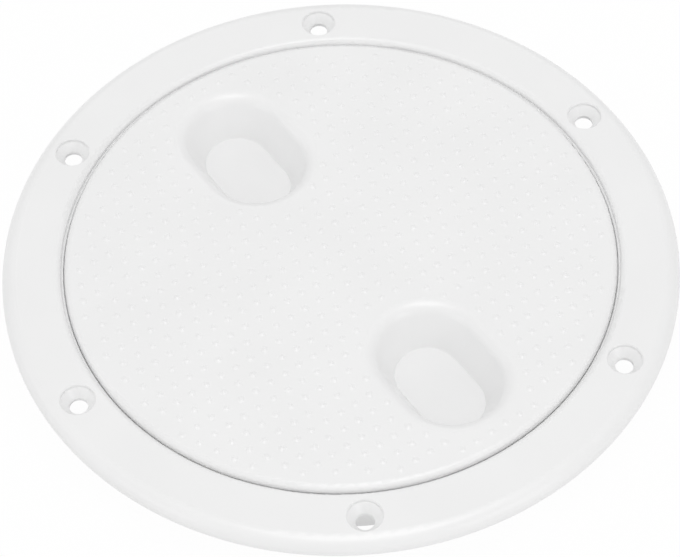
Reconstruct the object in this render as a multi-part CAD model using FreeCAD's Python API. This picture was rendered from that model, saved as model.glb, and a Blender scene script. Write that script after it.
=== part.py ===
import FreeCAD, Part
import math
import os

from FreeCAD import Vector

# A screw-out deck inspection plate of moulded plastic, in millimetres.
#
# It has three pieces. The ring is a flange with a threaded collar, and is screwed down over a round
# cut-out in the deck. The cover screws out of the ring by its two finger recesses. A rubber O-ring
# on the cover's neck seals the two.
#
# The deck's surface is the plane z = 0, with the flange above it and the collar below it. The plate's
# axis is Z, and the two finger recesses lie on X. The cover is modelled fully screwed in.

# Cover: a disc with a thin rim, a neck for the O-ring and a threaded skirt, sunk just under the flange's top
cover_r = 81.6
cover_edge_fillet = 2.0
cover_sink = 0.3
rim_t = 2.8
web_t = 2.8
neck_overlap = 0.6
skirt_wall = 2.4
skirt_below_recess = 2.0
skirt_edge_chamfer = 0.5
skirt_root_chamfer = 0.8

# Finger recesses of the cover, each a drafted pocket with a stadium-shaped floor
recess_depth = 12.9
recess_floor_r = 9.8
recess_straight = 11.5
recess_draft = math.radians(25.0)
recess_mouth_fillet = 4.6
recess_floor_fillet = 0.3
recess_wall = 2.2
recess_floor_t = 2.5
recess_skirt_gap = 1.65

# Ribs and hub under the cover
rib_bars = 4
rib_t = 1.8
rib_depth = 5.0
hub_r = 12.0

# O-ring, as it lies squeezed between the cover's rim and the ring's ledge
seal_d = 3.0
seal_height = 2.5
seal_seat_gap = 0.08
seal_bore_gap = 0.24
seal_neck_gap = 0.15

# Thread: one ridge on the cover's skirt and one in the ring's tube, both of the same trapezoid section
thread_pitch = 4.5
thread_height = 1.6
thread_crest_w = 1.2
thread_root_w = 2.2
thread_radial_gap = 0.4
thread_flank_gap = 0.35
thread_head = 3.0
thread_sink = 0.4
cover_thread_foot = 1.25
ring_thread_foot = 4.1

# Collar of the ring: a shallow gutter round the cover, a seat for its rim with a shoulder that the rim
# stops on, a ledge under the O-ring, and the threaded tube
cover_gap = 0.9
gutter_depth = 2.3
gutter_chamfer = 0.2
rim_gap = 0.25
shoulder_lap = 0.6
shoulder_gap = 0.3
shoulder_chamfer = 0.3
neck_gap = 0.6
mouth_fillet = 1.8
seat_wall = 2.4
ledge_wall = 2.6
ledge_chamfer = 0.4
tube_wall = 2.8
tube_below_skirt = 5.0
collar_edge_chamfer = 0.7

# Flange of the ring
flange_t = 5.4
flange_edge_fillet = 4.3
flange_foot_chamfer = 0.4

# Screw holes of the flange, counterbored and then countersunk, from the collar out to the flange's edge
hole_count = 6
hole_r = 2.7
countersink_r = 5.0
countersink_angle = math.radians(90.0)
counterbore_depth = 1.2
counterbore_chamfer = 0.3
hole_from_collar = 5.4
hole_to_edge = 9.7
hole_first_angle = 28.7

# Relief for the sealant in the flange's underside, inside the rim that rests on the deck
relief_depth = 0.8
relief_rim = 3.0

# Radii, from the cover's rim inwards
seal_bore_r = cover_r - shoulder_lap
seal_w = seal_height + (math.pi / 4) * (seal_d ** 2 - seal_height ** 2) / seal_height
seal_inner_r = seal_bore_r - seal_bore_gap - seal_w
neck_r = seal_inner_r - seal_neck_gap
tube_bore_r = neck_r + neck_gap
cover_crest_r = tube_bore_r - thread_radial_gap
skirt_r = cover_crest_r - thread_height
skirt_bore_r = skirt_r - skirt_wall
ring_crest_r = tube_bore_r - thread_height

# Radii, from the cover's rim outwards
seat_r = cover_r + rim_gap
mouth_r = cover_r + cover_gap
collar_r = mouth_r + seat_wall
tube_r = tube_bore_r + tube_wall
hole_circle_r = collar_r + hole_from_collar
flange_r = hole_circle_r + hole_to_edge

# Heights
top_z = flange_t
gutter_z = top_z - gutter_depth
cover_top_z = top_z - cover_sink
rim_z = cover_top_z - rim_t
web_z = cover_top_z - web_t
shoulder_z = rim_z - shoulder_gap
ledge_z = rim_z - seal_height - 2 * seal_seat_gap
neck_z = ledge_z - neck_overlap
recess_floor_z = cover_top_z - recess_depth
recess_foot_z = recess_floor_z - recess_floor_t
skirt_z = recess_foot_z - skirt_below_recess
tube_z = skirt_z - tube_below_skirt
thread_top_z = ledge_z - thread_head
cover_thread_z = skirt_z + cover_thread_foot
ring_thread_z = tube_z + ring_thread_foot

# Finger recess: where the pocket's outside meets the web, and the place that leaves it beside the skirt
recess_web_r = (recess_floor_r + (web_z - recess_floor_z) * math.tan(recess_draft)
                + recess_wall / math.cos(recess_draft))
recess_x = skirt_bore_r - recess_skirt_gap - recess_web_r - recess_straight / 2

origin = Vector(0, 0, 0)
up = Vector(0, 0, 1)


def sharp(x, z):
    """A plain corner of an outline."""
    return (Vector(x, 0, z), 0.0, False)


def fillet(x, z, radius):
    """A corner rounded by an arc."""
    return (Vector(x, 0, z), radius, True)


def chamfer(x, z, leg):
    """A corner cut straight, each side shortened by the leg."""
    return (Vector(x, 0, z), leg, False)


def outline(corners):
    """A closed wire in the XZ plane through sharp, fillet and chamfer corners."""
    bends = []
    for i, (point, size, is_round) in enumerate(corners):
        back = (corners[i - 1][0] - point).normalize()
        ahead = (corners[(i + 1) % len(corners)][0] - point).normalize()
        half = back.getAngle(ahead) / 2
        reach = size / math.tan(half) if is_round else size
        middle = point + (back + ahead).normalize() * (size / math.sin(half) - size)
        bends.append((point + back * reach, middle, point + ahead * reach, is_round))
    edges = []
    for i, (start, middle, end, is_round) in enumerate(bends):
        run_start = bends[i - 1][2]
        if (start - run_start).Length > 1e-6:
            edges.append(Part.LineSegment(run_start, start).toShape())
        if is_round:
            edges.append(Part.Arc(start, middle, end).toShape())
        elif (end - start).Length > 1e-6:
            edges.append(Part.LineSegment(start, end).toShape())
    return Part.Wire(edges)


def revolved(corners):
    """The solid that an outline with its x as the radius sweeps round the plate's axis."""
    return Part.Face(outline(corners)).revolve(origin, up, 360)


def thread_ridge(root_r, crest_r, foot_z, head_z):
    """A right-handed helical ridge on a wall at root_r, starting on +X and sunk a little into the wall."""
    wall = math.copysign(thread_sink, root_r - crest_r)
    spread = (thread_root_w - thread_crest_w) / (2 * thread_height)
    sunk_w = thread_root_w + 2 * spread * thread_sink
    section = outline([
        sharp(root_r + wall, -sunk_w / 2),
        sharp(crest_r, -thread_crest_w / 2),
        sharp(crest_r, thread_crest_w / 2),
        sharp(root_r + wall, sunk_w / 2),
    ])
    helix = Part.makeHelix(thread_pitch, head_z - foot_z, root_r)
    ridge = helix.makePipeShell([section], True, True)
    ridge.translate(Vector(0, 0, foot_z))
    return ridge


def stadium_frustum(low_z, high_z, radius_at):
    """A drafted block between two heights, with round ends whose radius is radius_at(z)."""
    low_r = radius_at(low_z)
    high_r = radius_at(high_z)
    block = Part.Face(Part.makePolygon([
        Vector(-recess_straight / 2, -low_r, low_z),
        Vector(-recess_straight / 2, low_r, low_z),
        Vector(-recess_straight / 2, high_r, high_z),
        Vector(-recess_straight / 2, -high_r, high_z),
        Vector(-recess_straight / 2, -low_r, low_z),
    ])).extrude(Vector(recess_straight, 0, 0))
    for side in (-1, 1):
        end = Part.makeCone(low_r, high_r, high_z - low_z, Vector(side * recess_straight / 2, 0, low_z))
        block = block.fuse(end)
    return block.removeSplitter()


def recess_inner_r(z):
    """Radius of the recess's round ends at a height."""
    return recess_floor_r + (z - recess_floor_z) * math.tan(recess_draft)


def recess_outer_r(z):
    """Radius of the round ends of the pocket's outside, one wall's thickness away."""
    return recess_inner_r(z) + recess_wall / math.cos(recess_draft)


def edges_at(shape, z, reach):
    """The edges of a shape that lie flat at one height within a reach of a recess's centre."""
    found = []
    for edge in shape.Edges:
        box = edge.BoundBox
        near = math.hypot(abs(edge.CenterOfMass.x) - recess_x, edge.CenterOfMass.y) < reach
        if near and abs(box.ZMin - z) < 1e-4 and abs(box.ZMax - z) < 1e-4:
            found.append(edge)
    return found


def screw_hole():
    """The space that one screw hole takes out of the flange, on the plate's axis."""
    bore_z = top_z - counterbore_depth
    sink_z = bore_z - (countersink_r - hole_r) / math.tan(countersink_angle / 2)
    return revolved([
        sharp(0, 0),
        sharp(hole_r, 0),
        sharp(hole_r, sink_z),
        sharp(countersink_r, bore_z),
        sharp(countersink_r, top_z - counterbore_chamfer),
        sharp(countersink_r + counterbore_chamfer, top_z),
        sharp(0, top_z),
    ])


def deck_ring():
    """Flange and threaded collar, one moulding."""
    ring = revolved([
        fillet(mouth_r, top_z, mouth_fillet),
        fillet(flange_r, top_z, flange_edge_fillet),
        chamfer(flange_r, 0, flange_foot_chamfer),
        sharp(flange_r - relief_rim, 0),
        sharp(flange_r - relief_rim, relief_depth),
        sharp(collar_r, relief_depth),
        chamfer(collar_r, ledge_z - ledge_wall, collar_edge_chamfer),
        chamfer(tube_r, ledge_z - ledge_wall, collar_edge_chamfer),
        chamfer(tube_r, tube_z, collar_edge_chamfer),
        chamfer(tube_bore_r, tube_z, collar_edge_chamfer),
        chamfer(tube_bore_r, ledge_z, ledge_chamfer),
        sharp(seal_bore_r, ledge_z),
        chamfer(seal_bore_r, shoulder_z, shoulder_chamfer),
        sharp(seat_r, shoulder_z),
        chamfer(seat_r, gutter_z, gutter_chamfer),
        sharp(mouth_r, gutter_z),
    ])
    holes = []
    for i in range(hole_count):
        hole = screw_hole().translated(Vector(hole_circle_r, 0, 0))
        holes.append(hole.rotated(origin, up, hole_first_angle + i * 360 / hole_count))
    ring = ring.cut(Part.makeCompound(holes))
    ridge = thread_ridge(tube_bore_r, ring_crest_r, ring_thread_z, thread_top_z)
    return ring.fuse(ridge).removeSplitter()


def cover_ribs():
    """Bars across the cover's underside, all through its centre, and the hub that they cross."""
    ribs = Part.makeCylinder(hub_r, rib_depth, Vector(0, 0, web_z - rib_depth))
    ribs = ribs.cut(Part.makeCylinder(hub_r - rib_t, rib_depth, Vector(0, 0, web_z - rib_depth)))
    length = 2 * (skirt_bore_r + skirt_wall / 2)
    for i in range(rib_bars):
        bar = Part.makeBox(length, rib_t, rib_depth, Vector(-length / 2, -rib_t / 2, web_z - rib_depth))
        bar.rotate(origin, up, i * 180 / rib_bars)
        ribs = ribs.fuse(bar)
    return ribs


def screw_cover():
    """Disc, threaded skirt, ribs and the two finger recesses, one moulding."""
    cover = revolved([
        sharp(0, cover_top_z),
        fillet(cover_r, cover_top_z, cover_edge_fillet),
        sharp(cover_r, rim_z),
        sharp(neck_r, rim_z),
        sharp(neck_r, neck_z),
        sharp(skirt_r, neck_z - (neck_r - skirt_r)),
        chamfer(skirt_r, skirt_z, skirt_edge_chamfer),
        chamfer(skirt_bore_r, skirt_z, skirt_edge_chamfer),
        chamfer(skirt_bore_r, web_z, skirt_root_chamfer),
        sharp(0, web_z),
    ])
    cover = cover.fuse(cover_ribs())
    for side in (-1, 1):
        pocket = stadium_frustum(recess_foot_z, cover_top_z - web_t / 2, recess_outer_r)
        pocket.translate(Vector(side * recess_x, 0, 0))
        hollow = stadium_frustum(recess_floor_z, cover_top_z, recess_inner_r)
        hollow.translate(Vector(side * recess_x, 0, 0))
        cover = cover.fuse(pocket).cut(hollow)
    cover = cover.removeSplitter()
    reach = recess_inner_r(cover_top_z) + recess_straight / 2
    cover = cover.makeFillet(recess_mouth_fillet, edges_at(cover, cover_top_z, reach))
    cover = cover.makeFillet(recess_floor_fillet, edges_at(cover, recess_floor_z, reach))
    # The cover's ridge lies just under the ring's, which pulls the cover down on the O-ring.
    flank_step = (thread_crest_w + thread_root_w) / 2 + thread_flank_gap
    ridge = thread_ridge(skirt_r, cover_crest_r, cover_thread_z, thread_top_z)
    lag = cover_thread_z - (ring_thread_z - flank_step)
    ridge.rotate(origin, up, 360 * lag / thread_pitch)
    return cover.fuse(ridge).removeSplitter()


def o_ring():
    """A round cord ring, squeezed flat above and below, with its section's area kept."""
    half = seal_height / 2
    outer_r = seal_inner_r + seal_w
    low_z = ledge_z + seal_seat_gap
    low_in = Vector(seal_inner_r + half, 0, low_z)
    low_out = Vector(outer_r - half, 0, low_z)
    high_in = low_in + up * seal_height
    high_out = low_out + up * seal_height
    outermost = Vector(outer_r, 0, low_z + half)
    innermost = Vector(seal_inner_r, 0, low_z + half)
    section = Part.Wire([
        Part.LineSegment(low_in, low_out).toShape(),
        Part.Arc(low_out, outermost, high_out).toShape(),
        Part.LineSegment(high_out, high_in).toShape(),
        Part.Arc(high_in, innermost, low_in).toShape(),
    ])
    return Part.Face(section).revolve(origin, up, 360)


os.makedirs("parts", exist_ok=True)
for make in (deck_ring, screw_cover, o_ring):
    shape = make()
    shape.exportStep("parts/" + make.__name__ + ".step")
    print(make.__name__, len(shape.Solids), shape.isValid(), round(shape.Volume))
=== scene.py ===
import math

import bmesh
import bpy
from mathutils import Matrix, Vector


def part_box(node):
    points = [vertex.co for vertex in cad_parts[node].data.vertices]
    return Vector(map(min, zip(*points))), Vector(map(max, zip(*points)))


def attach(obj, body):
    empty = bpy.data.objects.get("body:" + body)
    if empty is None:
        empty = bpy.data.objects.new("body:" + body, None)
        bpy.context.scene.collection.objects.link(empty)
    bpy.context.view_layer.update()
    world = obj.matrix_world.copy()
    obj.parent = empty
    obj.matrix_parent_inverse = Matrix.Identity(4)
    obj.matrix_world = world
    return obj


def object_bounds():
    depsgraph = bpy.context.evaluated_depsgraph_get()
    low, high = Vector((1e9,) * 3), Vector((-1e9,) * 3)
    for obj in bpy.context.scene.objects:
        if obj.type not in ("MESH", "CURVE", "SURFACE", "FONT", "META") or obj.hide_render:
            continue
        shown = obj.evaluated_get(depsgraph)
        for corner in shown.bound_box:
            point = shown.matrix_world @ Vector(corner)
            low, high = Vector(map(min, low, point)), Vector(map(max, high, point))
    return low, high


# The deck inspection plate's looks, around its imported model. Everything is in metres.
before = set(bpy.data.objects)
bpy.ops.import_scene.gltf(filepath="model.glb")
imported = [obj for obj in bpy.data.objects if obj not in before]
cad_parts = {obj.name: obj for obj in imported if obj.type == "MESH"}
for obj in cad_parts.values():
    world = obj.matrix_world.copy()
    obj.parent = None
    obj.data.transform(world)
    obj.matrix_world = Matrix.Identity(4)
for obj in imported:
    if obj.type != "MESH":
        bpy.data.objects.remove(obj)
cad_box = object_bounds()

# Deck ring: the flange and threaded collar, one injection moulding in white ABS. The polished mould
# gives it a satin gloss, and it is screwed down over the cut-out in the deck.
cloud_mm = 25
cloud_low = 0.3
cloud_high = 0.7
skin_mm = 1.2
skin_depth = 0.00002


def to_linear(hex_colour):
    """An sRGB hex colour as the linear colour that a shader takes."""
    parts = [int(hex_colour[i:i + 2], 16) / 255 for i in (1, 3, 5)]
    return tuple(c / 12.92 if c <= 0.04045 else ((c + 0.055) / 1.055) ** 2.4 for c in parts) + (1.0,)


def add_node(tree, kind, inputs, **settings):
    """A node with its settings, whose inputs take a value or the output that feeds them."""
    node = tree.nodes.new(kind)
    for name, value in settings.items():
        setattr(node, name, value)
    for name, value in inputs.items():
        if isinstance(value, bpy.types.NodeSocket):
            tree.links.new(value, node.inputs[name])
        else:
            node.inputs[name].default_value = value
    return node


def moulded_abs(name):
    """White ABS straight from a polished mould: an even colour, a clear satin gloss and a fine skin."""
    material = bpy.data.materials.new(name)
    material.use_nodes = True
    tree = material.node_tree
    shader = tree.nodes["Principled BSDF"]
    place = add_node(tree, "ShaderNodeTexCoord", {}).outputs["Object"]
    # The melt's flow leaves wide clouds that are hardly a shade apart.
    cloud = add_node(
        tree, "ShaderNodeTexNoise", {"Vector": place, "Scale": 1000 / cloud_mm, "Detail": 2.0}
    )
    tint = add_node(tree, "ShaderNodeValToRGB", {"Fac": cloud.outputs["Fac"]})
    tint.color_ramp.elements[0].position = cloud_low
    tint.color_ramp.elements[0].color = to_linear("#F0F0F0")
    tint.color_ramp.elements[1].position = cloud_high
    tint.color_ramp.elements[1].color = to_linear("#F2F2F2")
    tree.links.new(tint.outputs["Color"], shader.inputs["Base Color"])
    # The mould's polish varies a little over the same distances.
    polish = add_node(tree, "ShaderNodeMapRange", {
        "Value": cloud.outputs["Fac"],
        "From Min": cloud_low, "From Max": cloud_high,
        "To Min": 0.28, "To Max": 0.32,
    })
    tree.links.new(polish.outputs["Result"], shader.inputs["Roughness"])
    shader.inputs["IOR"].default_value = 1.54
    # The skin breaks up the highlights. The real one is finer than 0.2 mm and wouldn't show, so it is
    # drawn coarser.
    skin = add_node(
        tree, "ShaderNodeTexNoise", {"Vector": place, "Scale": 1000 / skin_mm, "Detail": 3.0}
    )
    relief = add_node(
        tree, "ShaderNodeBump",
        {"Height": skin.outputs["Fac"], "Strength": 0.25, "Distance": skin_depth},
    )
    tree.links.new(relief.outputs["Normal"], shader.inputs["Normal"])
    return material


def finish_node(name, material):
    """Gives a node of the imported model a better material."""
    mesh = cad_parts[name].data
    for i in range(len(mesh.materials)):
        mesh.materials[i] = material


finish_node("deck_ring", moulded_abs("ring_moulded_abs"))

# Screw cover: the same white ABS, moulded with its threaded skirt, stiffening ribs and the two finger
# recesses by which it screws out.
cover_abs = moulded_abs("cover_moulded_abs")
finish_node("screw_cover", cover_abs)

# Anti-slip dots: low soft swellings over the cover's top, moulded with it, in rows across the line of
# the recesses. Every second row is half a pitch along. They stop short of the cover's edge and leave a
# smooth band round the recesses.
dot_pitch = 0.005045
dot_row_pitch = 0.00506
dot_start = (0.00011, 0.0002)
dot_r = 0.00125
dot_height = 0.0003
dot_sink = 0.0001
dot_field_r = 0.07792
cover_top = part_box("screw_cover")[1].z
recess_x = 0.0491
recess_half = 0.00575
smooth_band_r = 0.01965
dot_sides = 16
dot_rings = 6


def clear_of_recesses(x, y):
    """Whether a dot's centre lies outside the smooth band round both recess mouths."""
    along = max(abs(abs(x) - recess_x) - recess_half, 0.0)
    return math.hypot(along, y) > smooth_band_r


def add_circle(mesh, x, y, z, radius):
    """The points of one ring round a dot."""
    turns = [2 * math.pi * k / dot_sides for k in range(dot_sides)]
    return [mesh.verts.new((x + radius * math.cos(a), y + radius * math.sin(a), z)) for a in turns]


def add_dot(mesh, x, y):
    """A closed swelling, rounded like one wave of a cosine, with its foot sunk in the cover."""
    top = mesh.verts.new((x, y, cover_top + dot_height))
    rings = []
    for i in range(1, dot_rings + 1):
        part = i / dot_rings
        z = cover_top + dot_height * (1 + math.cos(math.pi * part)) / 2
        rings.append(add_circle(mesh, x, y, z, part * dot_r))
    rings.append(add_circle(mesh, x, y, cover_top - dot_sink, dot_r))
    for k in range(dot_sides):
        after = (k + 1) % dot_sides
        mesh.faces.new((top, rings[0][k], rings[0][after])).smooth = True
        for inner, outer in zip(rings, rings[1:]):
            mesh.faces.new((inner[k], outer[k], outer[after], inner[after])).smooth = True
        # The foot's edge is sharp, so that the sunk skirt doesn't darken the dot's rim.
        mesh.edges.get((rings[-2][k], rings[-2][after])).smooth = False
    mesh.faces.new(list(reversed(rings[-1])))


dots = bmesh.new()
reach = math.ceil(dot_field_r / dot_pitch) + 1
for row in range(-reach, reach + 1):
    for step in range(-reach, reach + 1):
        dot_x = dot_start[0] + row * dot_row_pitch
        dot_y = dot_start[1] + (step + (0.5 if row % 2 else 0.0)) * dot_pitch
        if math.hypot(dot_x, dot_y) < dot_field_r and clear_of_recesses(dot_x, dot_y):
            add_dot(dots, dot_x, dot_y)
dots_mesh = bpy.data.meshes.new("anti_slip_dots")
dots.to_mesh(dots_mesh)
dots.free()
dots_mesh.materials.append(cover_abs)
dots_piece = bpy.data.objects.new("anti_slip_dots", dots_mesh)
bpy.context.scene.collection.objects.link(dots_piece)
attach(dots_piece, "cover")

# O-ring: nitrile rubber, pressed in a mould. Black and matt, with a faint grey bloom in patches a few
# millimetres wide. It sits on the cover's neck and seals it to the ring.
bloom_mm = 6
rubber = bpy.data.materials.new("nitrile_rubber")
rubber.use_nodes = True
rubber_tree = rubber.node_tree
rubber_shader = rubber_tree.nodes["Principled BSDF"]
rubber_place = add_node(rubber_tree, "ShaderNodeTexCoord", {}).outputs["Object"]
bloom = add_node(
    rubber_tree, "ShaderNodeTexNoise",
    {"Vector": rubber_place, "Scale": 1000 / bloom_mm, "Detail": 4.0},
)
rubber_tint = add_node(rubber_tree, "ShaderNodeValToRGB", {"Fac": bloom.outputs["Fac"]})
rubber_tint.color_ramp.elements[0].color = to_linear("#1B1B1C")
rubber_tint.color_ramp.elements[1].color = to_linear("#2A2A2B")
rubber_tree.links.new(rubber_tint.outputs["Color"], rubber_shader.inputs["Base Color"])
rubber_shader.inputs["Roughness"].default_value = 0.6
rubber_shader.inputs["IOR"].default_value = 1.52
finish_node("o_ring", rubber)

# Floor: a wide board with matt white paint, which the plate stands on. To the camera and in the gloss
# it is white, and it keeps a trace of the plate's shadow.
floor_half = 3.0
floor_z = cad_box[0][2]
floor_white = 0.97
floor_mesh = bpy.data.meshes.new("floor")
floor_mesh.from_pydata(
    [(sx * floor_half, sy * floor_half, floor_z) for sx, sy in ((-1, -1), (1, -1), (1, 1), (-1, 1))],
    [],
    [(0, 1, 2, 3)],
)
floor = bpy.data.objects.new("floor", floor_mesh)
bpy.context.scene.collection.objects.link(floor)
board = bpy.data.materials.new("white_board")
board.use_nodes = True
board_tree = board.node_tree
board_shader = board_tree.nodes["Principled BSDF"]
board_shader.inputs["Base Color"].default_value = to_linear("#F6F6F6")
board_shader.inputs["Roughness"].default_value = 0.9
seen = add_node(board_tree, "ShaderNodeLightPath", {})
straight = add_node(
    board_tree, "ShaderNodeMath",
    {0: seen.outputs["Is Camera Ray"], 1: seen.outputs["Is Glossy Ray"]},
    operation="MAXIMUM",
)
share = add_node(
    board_tree, "ShaderNodeMath", {0: straight.outputs[0], 1: floor_white}, operation="MULTIPLY"
)
white = add_node(board_tree, "ShaderNodeEmission", {"Color": to_linear("#FFFFFF"), "Strength": 1.0})
blend = add_node(
    board_tree, "ShaderNodeMixShader",
    {0: share.outputs[0], 1: board_shader.outputs["BSDF"], 2: white.outputs["Emission"]},
)
board_tree.links.new(blend.outputs[0], board_tree.nodes["Material Output"].inputs["Surface"])
floor_mesh.materials.append(board)

# The view: a long lens looks down on the plate from in front, with the finger recesses running from
# the far left to the near right. The lens is fitted to a frame of 680 by 557, whose size is not set
# here.
aim = Vector((0.00776, -0.00564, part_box("deck_ring")[1].z))
camera_turn = math.radians(55.96)
camera_height = math.radians(53.94)
camera_roll = math.radians(-1.96)
camera_distance = 0.7768
camera_data = bpy.data.cameras.new("product_camera")
camera_data.sensor_width = 36
camera_data.lens = 140.6
camera_data.clip_start = 0.05
camera = bpy.data.objects.new("product_camera", camera_data)
bpy.context.scene.collection.objects.link(camera)
level = math.cos(camera_height)
eye = aim + camera_distance * Vector(
    (level * math.sin(camera_turn), -level * math.cos(camera_turn), math.sin(camera_height))
)
camera.matrix_world = (
    Matrix.Translation(eye)
    @ Matrix.Rotation(camera_turn, 4, "Z")
    @ Matrix.Rotation(math.pi / 2 - camera_height, 4, "X")
    @ Matrix.Rotation(camera_roll, 4, "Z")
)
bpy.context.scene.camera = camera
bpy.context.scene.view_settings.view_transform = "Standard"

# Studio light: large soft boxes 2.5 m away, overhead, high in front, low at both sides and behind, in a
# pale room that fills the shadows and shows white to the camera.
room_level = 0.62
lamp_distance = 2.5
world = bpy.data.worlds.new("pale_room")
world.use_nodes = True
bpy.context.scene.world = world
room_tree = world.node_tree
room = room_tree.nodes["Background"]
room.inputs["Color"].default_value = to_linear("#FFFFFF")
room_seen = add_node(room_tree, "ShaderNodeLightPath", {})
room_light = add_node(
    room_tree, "ShaderNodeMapRange",
    {"Value": room_seen.outputs["Is Camera Ray"], "To Min": room_level, "To Max": 1.0},
)
room_tree.links.new(room_light.outputs["Result"], room.inputs["Strength"])


def soft_box(name, side, forward, height, width, depth, power):
    """A rectangular lamp whose direction is given as the camera sees it: right, forward and up."""
    data = bpy.data.lights.new(name, "AREA")
    data.shape = "RECTANGLE"
    data.size = width
    data.size_y = depth
    data.energy = power
    lamp = bpy.data.objects.new(name, data)
    bpy.context.scene.collection.objects.link(lamp)
    way = Matrix.Rotation(camera_turn, 3, "Z") @ Vector((side, forward, height)).normalized()
    turn = way.to_track_quat("Z", "Y").to_matrix().to_4x4()
    lamp.matrix_world = Matrix.Translation(way * lamp_distance) @ turn


soft_box("overhead_box", 0.06, -0.20, 0.98, 1.25, 1.0, 12.3)
soft_box("ceiling_box", 0.0, 0.0, 1.0, 3.0, 3.0, 4.6)
soft_box("front_box", 0.0, -0.54, 0.84, 1.2, 1.0, 3.2)
soft_box("left_box", -0.79, -0.58, 0.35, 1.25, 1.0, 3.1)
soft_box("right_box", 0.67, -0.70, 0.38, 1.25, 1.0, 5.8)
soft_box("far_left_box", -0.9, 0.1, 0.4, 1.25, 1.0, 2.5)
soft_box("back_box", 0.0, 0.85, 0.5, 1.5, 1.0, 3.5)
